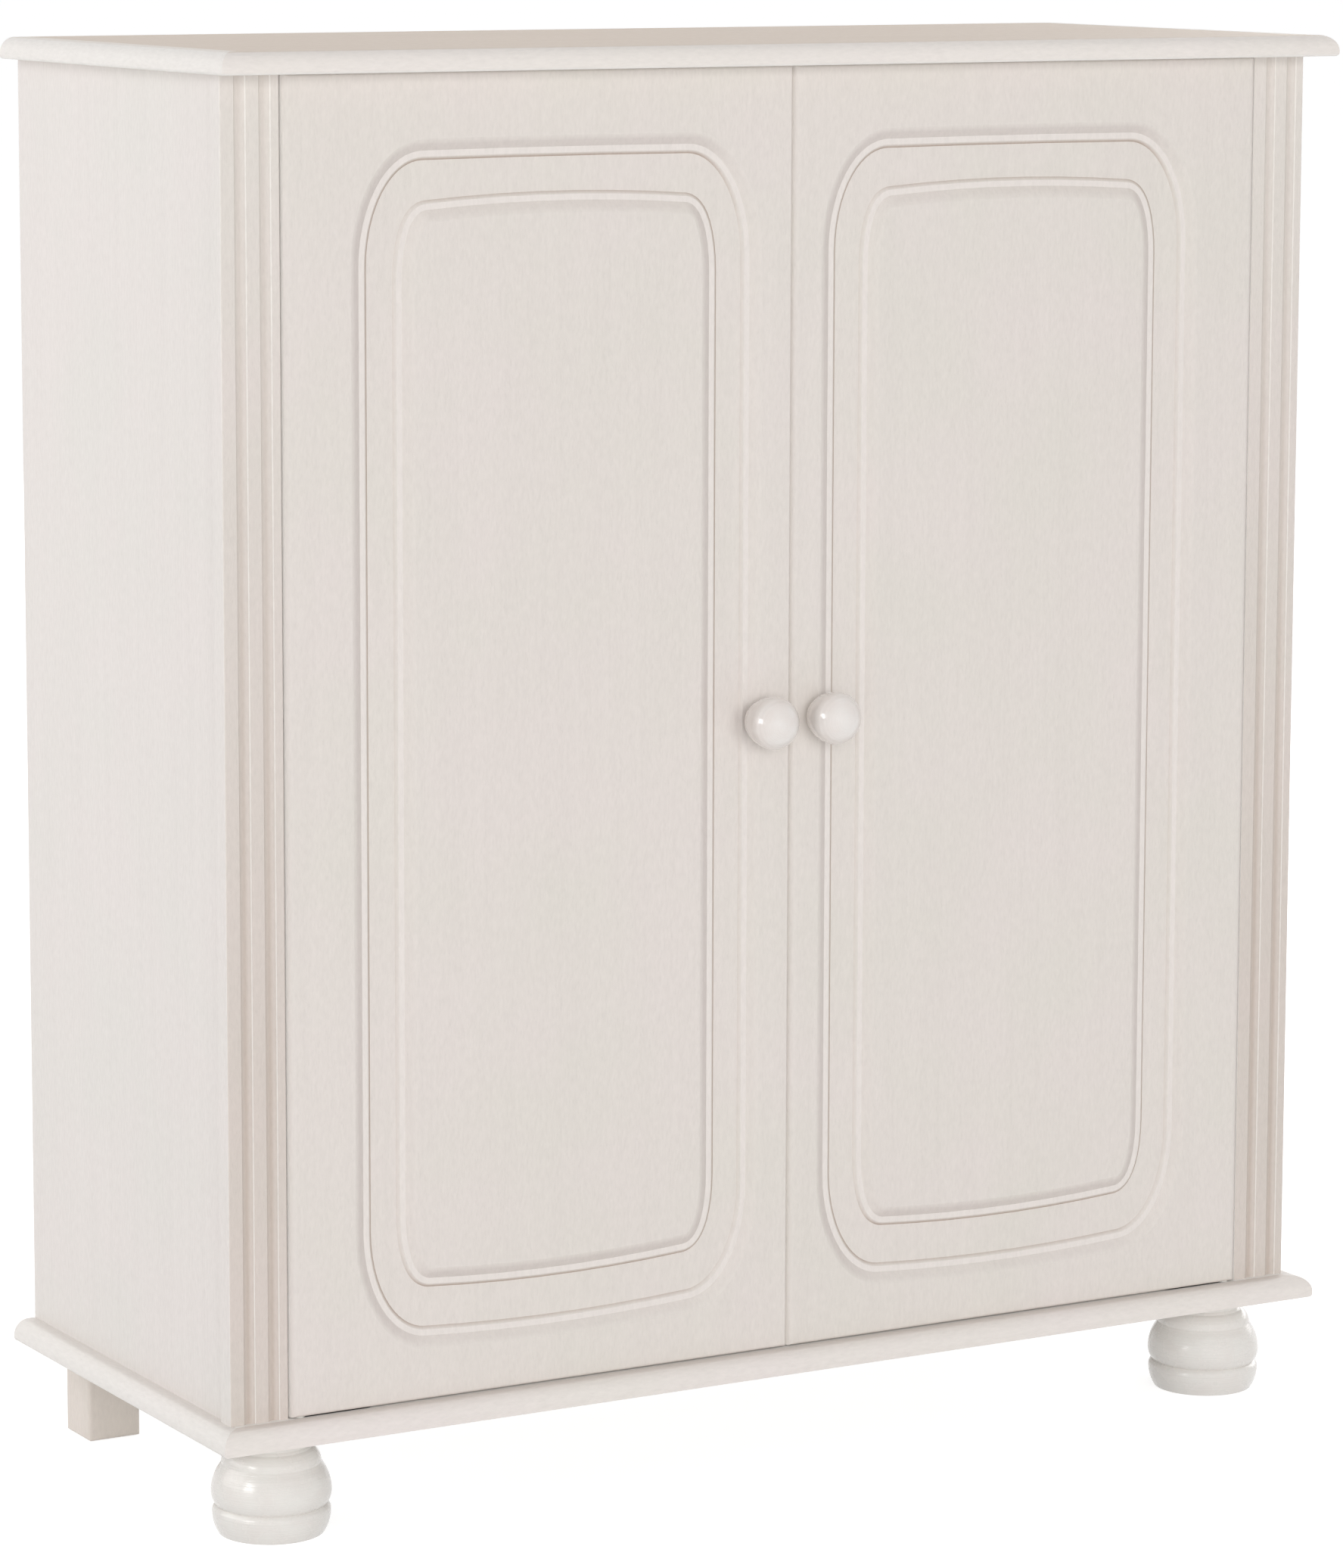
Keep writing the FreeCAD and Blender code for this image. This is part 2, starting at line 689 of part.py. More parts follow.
def block_foot_blank():
    """A plain rear foot, flush with the back, its upright and lower edges rounded."""
    x0 = x_pilaster_outer + block_from_side
    x1 = x0 + block_size
    y0, y1 = y_back - block_size, y_back
    radius, height = block_edge_radius, foot_height
    from_above = prism([(Vector(x0, y0, 0), radius), (Vector(x1, y0, 0), radius),
                        (Vector(x1, y1, 0), radius), (Vector(x0, y1, 0), radius)], Vector(0, 0, height))
    from_front = prism([(Vector(x0, y0, 0), radius), (Vector(x1, y0, 0), radius),
                        (Vector(x1, y0, height), 0), (Vector(x0, y0, height), 0)], Vector(0, block_size, 0))
    from_side = prism([(Vector(x0, y0, 0), radius), (Vector(x0, y1, 0), radius),
                       (Vector(x0, y1, height), 0), (Vector(x0, y0, height), 0)], Vector(block_size, 0, 0))
    return from_above.common(from_front).common(from_side)


def foot_bolts():
    """The left feet's bolts into the base board."""
    block_middle = Vector(x_pilaster_outer + block_from_side + block_size / 2, y_back - block_size / 2, 0)
    length = foot_bolt_in_foot + foot_bolt_in_board
    lift = Vector(0, 0, foot_height - foot_bolt_in_foot)
    return [rod(foot_bolt_diameter / 2, place + lift, Vector(0, 0, 1), length)
            for place in (bun_foot_centre(), block_middle)]


def pair(shapes):
    """The left-hand shapes and their twins on the right."""
    return shapes + [mirrored(shape) for shape in shapes]


def build_cabinet(parts):
    """Everything that stands still."""
    dowels, fixed_dowels, strip_dowels = carcass_dowels(), shelf_dowels(), pilaster_dowels()
    pins, bolts = shelf_pins(), foot_bolts()
    magnet, housing_screws = catch_magnet(), catch_screws()
    seats, plates, plate_screws, pivot_pins, washers = {}, {}, {}, {}, []
    for name, z_board, _, into_door in pivot_ends():
        seats[name] = pivot_leaf(z_board, -into_door * leaf_thickness)
        pivot_pins[name] = pivot_pin(z_board, into_door)
        plate_screws[name] = leaf_screws(z_board, -into_door, plate_screw_length)
        plates[name] = seats[name].cut(plate_screws[name] + [pivot_pins[name]])
        washers.append(pivot_washer(z_board, into_door))
    top = moulded_board(z_ceiling, top_side_overhang, top_front_overhang)
    base = moulded_board(z_base, base_side_overhang, base_front_overhang)
    for name, board, others in (("top", top, housing_screws), ("bottom", base, bolts)):
        hinge_cuts = [seats[name], pivot_pins[name]] + plate_screws[name]
        parts[board_names[name]] = board.cut(pair(dowels + hinge_cuts + others))
    nails = back_nails()
    panel = side_panel_blank().cut(dowels + fixed_dowels + strip_dowels + shelf_pin_holes() + nails)
    parts["left_side_panel"] = panel
    parts["right_side_panel"] = mirrored(panel)
    parts["left_pilaster"] = pilaster(x_pilaster_outer).cut(strip_dowels)
    parts["right_pilaster"] = pilaster(-x_pilaster_inner).cut([mirrored(dowel) for dowel in strip_dowels])
    parts["back_panel"] = back_panel_blank().cut(nails)
    parts["back_nails"] = Part.makeCompound(nails)
    parts["middle_shelf"] = fixed_shelf_blank().cut(pair(fixed_dowels) + nails)
    parts["upper_shelf"] = loose_shelf(z_upper_shelf)
    parts["lower_shelf"] = loose_shelf(z_lower_shelf)
    parts["shelf_pins"] = Part.makeCompound(pair(pins))
    for name, blank, bolt in (("front", bun_foot_blank(), bolts[0]), ("rear", block_foot_blank(), bolts[1])):
        foot = blank.cut(bolt)
        parts["left_" + name + "_foot"] = foot
        parts["right_" + name + "_foot"] = mirrored(foot)
    parts["foot_bolts"] = Part.makeCompound(pair(bolts))
    parts["carcass_dowels"] = Part.makeCompound(pair(dowels))
    parts["shelf_dowels"] = Part.makeCompound(pair(fixed_dowels))
    parts["pilaster_dowels"] = Part.makeCompound(pair(strip_dowels))
    housing = catch_housing_blank().cut(housing_screws + [magnet])
    parts["left_catch"] = housing
    parts["right_catch"] = mirrored(housing)
    parts["catch_magnets"] = Part.makeCompound(pair([magnet]))
    parts["catch_screws"] = Part.makeCompound(pair(housing_screws))
    for name in plates:
        parts["left_" + name + "_pivot_plate"] = plates[name]
        parts["right_" + name + "_pivot_plate"] = mirrored(plates[name])
        parts["left_" + name + "_pivot_pin"] = pivot_pins[name]
        parts["right_" + name + "_pivot_pin"] = mirrored(pivot_pins[name])
    parts["pivot_washers"] = Part.makeCompound(pair(washers))
    parts["pivot_plate_screws"] = Part.makeCompound(pair(plate_screws["top"] + plate_screws["bottom"]))


def build_doors(parts):
    """Both doors with what turns with them."""
    screw, plate_screw = knob_screw(), strike_screw()
    hinge_screws, leaves, door_cuts = [], {}, [plate_screw]
    for name, _, z_door, into_door in pivot_ends():
        leaf = pivot_leaf(z_door, into_door * leaf_thickness)
        screws = leaf_screws(z_door, into_door, leaf_screw_length)
        door_cuts += [leaf, door_pin_bore(z_door, into_door)] + screws
        bore = rod(pivot_pin_diameter / 2 + pivot_running_clearance, Vector(x_pivot, y_pivot, z_door),
                   Vector(0, 0, into_door), leaf_thickness)
        leaves[name] = leaf.cut(screws + [bore])
        hinge_screws += screws
    hole_radius = knob_screw_diameter / 2 + knob_screw_play
    door_cuts.append(rod(hole_radius, knob_centre(), Vector(0, 1, 0), door_thickness))
    parts["left_door"] = door_blank(left_meeting_radius).cut(door_cuts)
    parts["right_door"] = mirrored(door_blank(right_meeting_radius).cut(door_cuts))
    left_parts = {"knob": knob_blank().cut(screw),
                  "knob_screw": screw,
                  "top_door_leaf": leaves["top"],
                  "bottom_door_leaf": leaves["bottom"],
                  "leaf_screws": Part.makeCompound(hinge_screws),
                  "strike_plate": strike_plate_blank().cut(plate_screw),
                  "strike_screw": plate_screw}
    for name, shape in left_parts.items():
        parts["left_" + name] = shape
        parts["right_" + name] = mirrored(shape)


def main():
    parts = {}
    build_cabinet(parts)
    build_doors(parts)
    os.makedirs("parts", exist_ok=True)
    for name, shape in parts.items():
        shape.exportStep(os.path.join("parts", name + ".step"))
        print(name, len(shape.Solids), round(shape.Volume), shape.isValid())


main()
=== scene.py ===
import json
import math

import bpy
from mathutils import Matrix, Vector


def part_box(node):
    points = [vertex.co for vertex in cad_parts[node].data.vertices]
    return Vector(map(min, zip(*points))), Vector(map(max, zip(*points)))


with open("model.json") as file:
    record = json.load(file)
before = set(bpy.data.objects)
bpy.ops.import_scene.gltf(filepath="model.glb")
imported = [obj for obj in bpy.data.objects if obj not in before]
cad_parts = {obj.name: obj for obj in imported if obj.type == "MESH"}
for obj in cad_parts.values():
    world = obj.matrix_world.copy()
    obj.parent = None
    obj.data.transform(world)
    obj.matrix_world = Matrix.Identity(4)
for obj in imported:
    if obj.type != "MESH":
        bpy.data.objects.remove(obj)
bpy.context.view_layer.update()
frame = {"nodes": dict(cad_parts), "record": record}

nodes = frame["nodes"]

# Axes: to the right, to the back and up
x_axis, y_axis, z_axis = 0, 1, 2

# Camera: its place in metres, the way it looks in degrees, its lens in millimetres and its shift
camera_place = (-2.0055, -3.4845, 1.120)
camera_yaw = 29.79
camera_pitch = -8.28
camera_roll = 0.15
camera_lens = 130.3
camera_shift = -0.06

# Light: strengths at which a colour renders about as it is written
horizon_strength = 0.30
zenith_strength = 0.62
light_target = (0.0, -0.05, 0.5)
lamps = {
    "front_lamp": dict(place=(-2.2, -8.2, 1.9), width=7.0, height=3.6, power=365.0, glossy=False),
    "side_lamp": dict(place=(-2.8, 1.15, 1.6), width=2.6, height=2.2, power=32.5),
    "glint_lamp": dict(place=(-2.90, -0.95, 1.15), width=0.9, height=0.9, power=20.0, diffuse=False),
    "right_lamp": dict(place=(3.0, 1.4, 1.4), width=2.6, height=2.2, power=36.0),
    "back_lamp": dict(place=(1.5, 6.0, 1.8), width=5.0, height=3.0, power=112.0, glossy=False),
}

# Floor: how far it reaches, its grey, the light it sends up, and its glow where it is seen directly
floor_reach = 40.0
floor_grey = 0.55
floor_lift = 0.18
floor_glow = 0.72

# Depths behind the face of a door, in metres: its strips, which get a painted highlight, the floor of its
# channel, where the painted shade in its roundings starts and is full, and how sharp these limits are
strip_depth = 0.0042
channel_depth = 0.0060
round_start = 0.0001
round_full = 0.0014
depth_blur = 0.0001

# Pilasters, in metres: the depth at which a flute has its full painted shade, how far the flutes reach
# from the middle, and the height below which the paint is darkest
flute_edge = 0.0006
flute_reach = 0.0175
pilaster_dark_below = 0.33

# Boards: how far the mouldings reach in from the edges, in metres, and the painted light on their ends
moulding_reach = 0.02
end_painted_light = 0.55

# How far a part of the relief has to face the front. For the inner side of the back panel this is measured
# towards the back, so it is below zero.
step_facing = 0.5
round_facing = 0.7
strip_facing = 0.95
inner_facing = -0.5

# Ramps on how far a surface faces one way: their start and end, then the shares there if not 0 and 1
edge_turn = (0.55, 0.1)
right_facing_shade = (0.1, 0.6, 1.0, 0.4)
left_facing_shade = (-0.45, -0.05, 0.15, 1.0)
arris_turn = (-0.67, -0.75)
side_turn = (0.7, 0.9)
underside_turn = (-0.3, -0.8)
upper_turn = (0.93, 0.995)

# Painted shade on the relief's slopes, by how far they face down or right: what facing up and down have
# in common, what is taken for up and added for down, and ramps for the steps and roundings.
level_shade = 0.4
upward_shade_loss = 0.6
step_shade_ramp = (-0.5, 0.4, 0.15, 1.0)
round_shade_ramp = (-0.25, 0.35, 0.04, 0.44)

# Limits that a noise is cut off at: for textures, for softer clouds and for pores
noise_range = (0.3, 0.7)
cloud_range = (0.35, 0.65)
pore_range = (0.56, 0.72)

# Lumps to the metre in clouds and fine textures
paint_clouds = 9.0
shelf_clouds = 4.0
turned_mottle = 60.0
lathe_marks = 900.0
board_fibres = 700.0
board_blotches = 14.0
steel_clouds = 220.0
plastic_spark = 1600.0

# Grain: lumps to the metre across it and along it, and how finely they are broken up
streak_grain = dict(across=130.0, along=4.0, detail=4.0)
fleck_grain = dict(across=430.0, along=140.0, detail=2.0)
pore_grain = dict(across=1000.0, along=240.0, detail=1.0)
beech_grain = dict(across=900.0, along=80.0)

# How much lighter or darker a texture makes its colour, as a share
streak_shade = 0.010
fleck_shade = 0.025
pore_shade = -0.02
lathe_shade = 0.007
blotch_shade = 0.08
pale_blotch_shade = 0.015
steel_shade = 0.06
plastic_shade = 0.02

# Roughness: paint from its dark shades to its light ones, turned paint above its varnish, and the rest
paint_gloss = (-0.04, 0.02, 0.58, 0.44)
turned_rough_least = 0.09
turned_rough_most = 0.17
shelf_roughness = 0.42
board_roughness = (0.55, 0.75)
beech_roughness = 0.6
steel_roughness = (0.26, 0.42)
nylon_roughness = 0.45
catch_roughness = 0.4
magnet_roughness = 0.6
spark_roughness = 0.06

# Clear varnish on the turned pieces: how much there is and how rough it is
knob_varnish = dict(coat=1.0, dullness=0.07)
foot_varnish = dict(coat=0.35, dullness=0.14)

# Fine unevenness of each surface: how deep it is, in metres, and how strongly it shows
paint_bump = dict(distance=0.004, strength=0.5)
lathe_bump = dict(distance=0.00006, strength=0.6)
shelf_bump = dict(distance=0.002, strength=0.4)
board_bump = dict(distance=0.0004, strength=0.5)
beech_bump = dict(distance=0.0003, strength=0.5)
spark_bump = dict(distance=0.0001, strength=0.3)

# Light at full strength, as red, green, blue and cover from 0 to 1
full_white = (1.0, 1.0, 1.0, 1.0)

# Colours of paint and materials, as red, green and blue from 0 to 255
paint_pink = (227, 219, 214)
paint_grey = (225, 219, 212)
side_pink = (233, 226, 222)
side_grey = (231, 226, 221)
pilaster_pink = (216, 205, 198)
pilaster_grey = (213, 204, 196)
top_pink = (235, 228, 223)
top_grey = (234, 228, 222)
base_pink = (234, 226, 222)
base_grey = (233, 227, 221)
block_pink = (231, 221, 213)
block_grey = (228, 219, 209)
# Beige of the top's upper face: its own tone, darkened further as painted shade
top_beige_and_shade = (215, 199, 184)
# Painted shade on the base's flat rim in front of the cabinet and beside it
front_rim_shade = (222, 214, 208)
side_rim_shade = (202, 192, 186)
# Dark brown painted shade on the steps of the door relief
step_shade = (174, 154, 140)
# Painted shade in the roundings of the door relief
round_shade = (200, 189, 185)
# Painted shade in the flutes, darker low down and paler high up
flute_shade = (198, 185, 175)
high_flute_shade = (219, 211, 204)
# Painted highlight on the right-hand edge of each flute
arris_highlight = (247, 243, 238)
# Pale paint that stands in for light in gaps, under boards and on the board ends
painted_light_white = (242, 239, 235)
# Painted highlight on the strips of the door relief
strip_highlight = (232, 225, 220)
knob_white = (233, 228, 224)
knob_cream = (230, 222, 217)
foot_white = (232, 229, 224)
foot_cream = (229, 224, 219)
shelf_white = (232, 228, 223)
shelf_cream = (229, 224, 217)
hardboard_brown = (150, 112, 78)
hardboard_dark = (128, 93, 62)
beech_pale = (214, 180, 138)
beech_dark = (190, 150, 106)
steel_grey = (188, 188, 186)
nylon_white = (226, 224, 218)
plastic_white = (224, 221, 215)
magnet_grey = (52, 52, 54)


def linear(colour):
    """A colour from 0 to 255 as the linear values that a shader takes, by the standard screen curve."""
    values = []
    for part in colour:
        share = part / 255
        values.append(share / 12.92 if share <= 0.04045 else ((share + 0.055) / 1.055) ** 2.4)
    return (*values, 1.0)


class Graph:
    """The nodes of one material or world, with short ways to add and join them."""

    def __init__(self, owner, shader="Principled BSDF"):
        owner.use_nodes = True
        self.owner = owner
        self.tree = owner.node_tree
        self.shader = self.tree.nodes[shader]
        position = self.add("ShaderNodeTexCoord")
        self.place = position.outputs["Object"]
        self.normal = position.outputs["Normal"]
        self.direction = position.outputs["Generated"]

    def add(self, kind, **settings):
        """A new node with its settings."""
        node = self.tree.nodes.new(kind)
        for key, value in settings.items():
            setattr(node, key, value)
        return node

    def put(self, value, socket):
        """Joins an output to a socket, or sets a plain value on it."""
        if isinstance(value, bpy.types.NodeSocket):
            self.tree.links.new(value, socket)
        else:
            socket.default_value = value

    def math(self, operation, first, second=0.0):
        """The result of one operation on one or two values."""
        node = self.add("ShaderNodeMath", operation=operation)
        self.put(first, node.inputs[0])
        self.put(second, node.inputs[1])
        return node.outputs[0]

    def plus(self, first, second):
        """The sum of two values."""
        return self.math("ADD", first, second)

    def minus(self, first, second):
        """The difference between two values."""
        return self.math("SUBTRACT", first, second)

    def times(self, first, second):
        """The product of two values."""
        return self.math("MULTIPLY", first, second)

    def absolute(self, value):
        """A value without its sign."""
        return self.math("ABSOLUTE", value)

    def below(self, value, limit):
        """1 where a value is less than a limit, otherwise 0."""
        return self.math("LESS_THAN", value, limit)

    def above(self, value, limit):
        """1 where a value is more than a limit, otherwise 0."""
        return self.math("GREATER_THAN", value, limit)

    def overlap(self, first, *others):
        """The share that is left of a first share when others each keep a part of it."""
        share = first
        for other in others:
            share = self.times(share, other)
        return share

    def ramp(self, value, start, end, low=0.0, high=1.0):
        """A value carried from one range to another and held at its ends."""
        node = self.add("ShaderNodeMapRange")
        for number, part in enumerate((value, start, end, low, high)):
            self.put(part, node.inputs[number])
        return node.outputs[0]

    def spread(self, noise, low, high):
        """A noise carried to the range between two values."""
        return self.ramp(noise, *noise_range, low, high)

    def split(self, vector, axis):
        """The part of a vector along one axis."""
        node = self.add("ShaderNodeSeparateXYZ")
        self.put(vector, node.inputs[0])
        return node.outputs[axis]

    def along(self, axis):
        """The place on the object along one axis, with its doors closed."""
        return self.split(self.place, axis)

    def facing(self, axis):
        """How far the surface faces along one axis, with the doors closed."""
        return self.split(self.normal, axis)

    def noise(self, vector, scale, detail=3.0, roughness=0.55):
        """Noise with so many lumps to the metre, broken up into finer ones."""
        node = self.add("ShaderNodeTexNoise")
        self.put(vector, node.inputs["Vector"])
        self.put(scale, node.inputs["Scale"])
        self.put(detail, node.inputs["Detail"])
        self.put(roughness, node.inputs["Roughness"])
        return node.outputs["Fac"]

    def grain(self, axis, across, along, detail=3.0):
        """Noise that is fine across the grain and long along it, in lumps to the metre."""
        node = self.add("ShaderNodeMapping")
        self.put(self.place, node.inputs["Vector"])
        node.inputs["Scale"].default_value = [along if index == axis else across for index in range(3)]
        return self.noise(node.outputs[0], 1.0, detail)

    def mix(self, share, first, second, blend="MIX"):
        """A share of the second colour over the first."""
        node = self.add("ShaderNodeMix", data_type="RGBA", blend_type=blend)
        self.put(share, node.inputs["Factor"])
        self.put(first, node.inputs["A"])
        self.put(second, node.inputs["B"])
        return node.outputs["Result"]

    def drift(self, noise, first, second):
        """Two tints that drift into each other as a noise rises."""
        return self.mix(self.ramp(noise, *cloud_range), linear(first), linear(second))

    def shaded(self, colour, shade):
        """A colour made lighter or darker by a share of itself."""
        value = self.add("ShaderNodeCombineColor")
        light = self.plus(shade, 1.0)
        for channel in value.inputs:
            self.put(light, channel)
        return self.mix(1.0, colour, value.outputs[0], "MULTIPLY")

    def bump(self, height, distance, strength):
        """Makes the surface look as uneven as a height says."""
        node = self.add("ShaderNodeBump")
        self.put(height, node.inputs["Height"])
        self.put(distance, node.inputs["Distance"])
        self.put(strength, node.inputs["Strength"])
        self.put(node.outputs[0], self.shader.inputs["Normal"])

    def seen_directly(self):
        """1 for rays from the camera and for rays by way of gloss or glass, otherwise 0."""
        rays = self.add("ShaderNodeLightPath")
        share = rays.outputs["Is Camera Ray"]
        for other in ("Is Glossy Ray", "Is Transmission Ray"):
            share = self.math("MAXIMUM", share, rays.outputs[other])
        return share

    def set(self, **values):
        """Sets or joins the shader's own sockets."""
        for key, value in values.items():
            self.put(value, self.shader.inputs[key.replace("_", " ")])


def material_graph(name):
    """The graph of a new material."""
    return Graph(bpy.data.materials.new(name))


def paint_shade(graph, axis):
    """The lighter and darker grain under the paint: long streaks, short flecks and fine pores."""
    streaks = graph.spread(graph.grain(axis, **streak_grain), -1.0, 1.0)
    flecks = graph.spread(graph.grain(axis, **fleck_grain), -1.0, 1.0)
    pores = graph.ramp(graph.grain(axis, **pore_grain), *pore_range)
    soft = graph.times(streaks, streak_shade)
    fine = graph.times(flecks, fleck_shade)
    deep = graph.times(pores, pore_shade)
    return graph.plus(graph.plus(soft, fine), deep)


def clouded(graph, pink, grey):
    """Two tints of paint that drift into each other."""
    return graph.drift(graph.noise(graph.place, paint_clouds), pink, grey)


def finish_paint(graph, colour, shade):
    """The satin surface of brushed paint over the grain."""
    graph.set(Base_Color=graph.shaded(colour, shade))
    graph.set(Roughness=graph.ramp(shade, *paint_gloss))
    graph.bump(shade, **paint_bump)
    return graph.owner


def painted(name, axis, pink, grey):
    """Satin off-white paint on wood, with the grain showing through."""
    graph = material_graph(name)
    return finish_paint(graph, clouded(graph, pink, grey), paint_shade(graph, axis))


def shade_facing(graph):
    """How far a slope of the relief faces down or to the right, away from the light, which sets how much
    painted shade it gets."""
    upward = graph.facing(z_axis)
    level = graph.times(graph.absolute(upward), level_shade)
    kept = graph.minus(level, graph.times(upward, upward_shade_loss))
    return graph.plus(kept, graph.facing(x_axis))


def door_paint():
    """Paint on the doors: a painted highlight on the strips of the relief, dark painted shade on the steps
    beside them that face down or right, and lighter painted shade in the roundings. Edges and back are
    painted paler, which lightens the shade in the gaps."""
    graph = material_graph("door_paint")
    depth = graph.minus(graph.along(y_axis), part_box("left_door")[0][1])
    towards_front = graph.times(graph.facing(y_axis), -1.0)
    # How far each slope faces away from the light, for the painted shade
    away_from_light = shade_facing(graph)
    # Dark brown painted shade on the steps of the relief that face down or right
    step_shade_mask = graph.overlap(graph.ramp(depth, strip_depth + depth_blur, channel_depth - depth_blur),
                            graph.below(depth, channel_depth - depth_blur / 2),
                            graph.above(towards_front, step_facing),
                            graph.ramp(away_from_light, *step_shade_ramp))
    # Lighter painted shade in the roundings of the relief
    round_shade_mask = graph.overlap(graph.ramp(depth, round_start, round_full),
                             graph.below(depth, strip_depth - depth_blur),
                             graph.above(towards_front, round_facing),
                             graph.ramp(away_from_light, *round_shade_ramp))
    # Painted highlight on the flat strips of the relief
    off_strip = graph.absolute(graph.minus(depth, strip_depth))
    strip_highlight_mask = graph.overlap(graph.below(off_strip, depth_blur), graph.above(towards_front, strip_facing))
    # Edges and back are painted paler, which lightens the shade in the gaps
    lightened_edge = graph.ramp(towards_front, *edge_turn)
    colour = clouded(graph, paint_pink, paint_grey)
    colour = graph.mix(round_shade_mask, colour, linear(round_shade))
    colour = graph.mix(strip_highlight_mask, colour, linear(strip_highlight))
    colour = graph.mix(step_shade_mask, colour, linear(step_shade))
    colour = graph.mix(lightened_edge, colour, linear(painted_light_white))
    return finish_paint(graph, colour, paint_shade(graph, z_axis))


def pilaster_paint():
    """Paint on the pilasters, darker towards the floor. The flutes get painted shade, and the right-hand
    edge of each flute a painted highlight. The outer side matches the side panel, and the inner side is
    painted paler, which lightens the shade in the gap by the door."""
    graph = material_graph("pilaster_paint")
    low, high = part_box("right_pilaster")
    sideways = graph.facing(x_axis)
    from_middle = graph.minus(graph.absolute(graph.along(x_axis)), (low[0] + high[0]) / 2)
    fluted = graph.below(graph.absolute(from_middle), flute_reach)
    depth = graph.minus(graph.along(y_axis), low[1])
    height = graph.ramp(graph.along(z_axis), pilaster_dark_below, high[2])
    # Painted shade in the flutes, darker low down
    in_flute = graph.overlap(graph.ramp(depth, 0.0, flute_edge), fluted)
    flute_shade_mask = graph.overlap(in_flute,
                           graph.ramp(sideways, *right_facing_shade),
                           graph.ramp(sideways, *left_facing_shade))
    # Painted highlight on the right-hand edge of each flute
    arris_highlight_mask = graph.overlap(in_flute, graph.ramp(sideways, *arris_turn))
    on_side = graph.overlap(graph.ramp(graph.absolute(sideways), *side_turn), graph.minus(1.0, fluted))
    outward = graph.above(from_middle, 0.0)
    flat = graph.mix(height, clouded(graph, pilaster_pink, pilaster_grey),
                     clouded(graph, paint_pink, paint_grey))
    flute_shade_colour = graph.mix(height, linear(flute_shade), linear(high_flute_shade))
    # The inner side is painted paler, which lightens the shade in the gap by the door
    side = graph.mix(outward, linear(painted_light_white), clouded(graph, side_pink, side_grey))
    colour = graph.mix(flute_shade_mask, flat, flute_shade_colour)
    colour = graph.mix(arris_highlight_mask, colour, linear(arris_highlight))
    colour = graph.mix(on_side, colour, side)
    return finish_paint(graph, colour, paint_shade(graph, z_axis))


def finish_board(graph, node, colour):
    """Paint on a moulded board: the grain turns at the mitres, the ends are painted paler as painted
    light, and the underside is painted pale, which lightens the shade under it."""
    low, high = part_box(node)
    from_side = graph.minus(high[0], graph.absolute(graph.along(x_axis)))
    from_front = graph.minus(graph.along(y_axis), low[1])
    on_end = graph.below(from_side, from_front)
    turned = graph.overlap(on_end, graph.below(from_side, moulding_reach))
    lengthwise = paint_shade(graph, x_axis)
    crosswise = paint_shade(graph, y_axis)
    change = graph.times(turned, graph.minus(crosswise, lengthwise))
    # Painted light: a pale underside lightens the shade under the board, and the ends are painted paler
    lightened_underside = graph.ramp(graph.facing(z_axis), *underside_turn)
    colour = graph.mix(graph.times(turned, end_painted_light), colour, linear(painted_light_white))
    colour = graph.mix(lightened_underside, colour, linear(painted_light_white))
    return finish_paint(graph, colour, graph.plus(lengthwise, change))


def top_paint():
    """Paint on the top board: its flat upper face is a darker beige, its own tone and painted shade."""
    graph = material_graph("top_paint")
    upward = graph.ramp(graph.facing(z_axis), *upper_turn)
    # The upper face's darker beige is its own tone and painted shade
    colour = graph.mix(upward, clouded(graph, top_pink, top_grey), linear(top_beige_and_shade))
    return finish_board(graph, "top_board", colour)


def base_paint():
    """Paint on the base board: its flat upper face gets painted shade round the cabinet, most of all
    beside it, and is painted pale inside it, which lightens the shade under the doors."""
    graph = material_graph("base_paint")
    upward = graph.ramp(graph.facing(z_axis), *upper_turn)
    off_middle = graph.absolute(graph.along(x_axis))
    behind_doors = graph.above(graph.along(y_axis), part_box("left_door")[0][1])
    between_sides = graph.below(off_middle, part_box("right_side_panel")[1][0])
    inside = graph.overlap(behind_doors, between_sides)
    # Painted shade on the flat rim, darkest beside the cabinet; inside, pale paint lightens the shade
    rim = graph.mix(behind_doors, linear(front_rim_shade), linear(side_rim_shade))
    flat = graph.mix(inside, rim, linear(painted_light_white))
    colour = graph.mix(upward, clouded(graph, base_pink, base_grey), flat)
    return finish_board(graph, "base_board", colour)


def turned_paint(name, white, cream, rings, coat, dullness):
    """Glossy paint on a turned piece, with faint lathe marks. The function rings gives their place, coat
    says how much clear varnish there is, and dullness how rough it is."""
    graph = material_graph(name)
    wave = graph.add("ShaderNodeTexNoise", noise_dimensions="1D")
    graph.put(rings(graph), wave.inputs["W"])
    graph.put(lathe_marks, wave.inputs["Scale"])
    marks = graph.spread(wave.outputs["Fac"], -1.0, 1.0)
    mottle = graph.noise(graph.place, turned_mottle)
    colour = graph.drift(mottle, white, cream)
    graph.set(Base_Color=graph.shaded(colour, graph.times(marks, lathe_shade)))
    graph.set(Roughness=graph.spread(mottle, dullness + turned_rough_least, dullness + turned_rough_most))
    graph.set(Coat_Weight=coat, Coat_Roughness=dullness)
    graph.bump(marks, **lathe_bump)
    return graph.owner


def knob_rings(graph):
    """The distance from the axis of either knob."""
    low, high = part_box("right_knob")
    sideways = graph.minus(graph.absolute(graph.along(x_axis)), (low[0] + high[0]) / 2)
    upwards = graph.minus(graph.along(z_axis), (low[2] + high[2]) / 2)
    square = graph.plus(graph.times(sideways, sideways), graph.times(upwards, upwards))
    return graph.math("SQRT", square)


def foot_rings(graph):
    """The height on a foot."""
    return graph.along(z_axis)


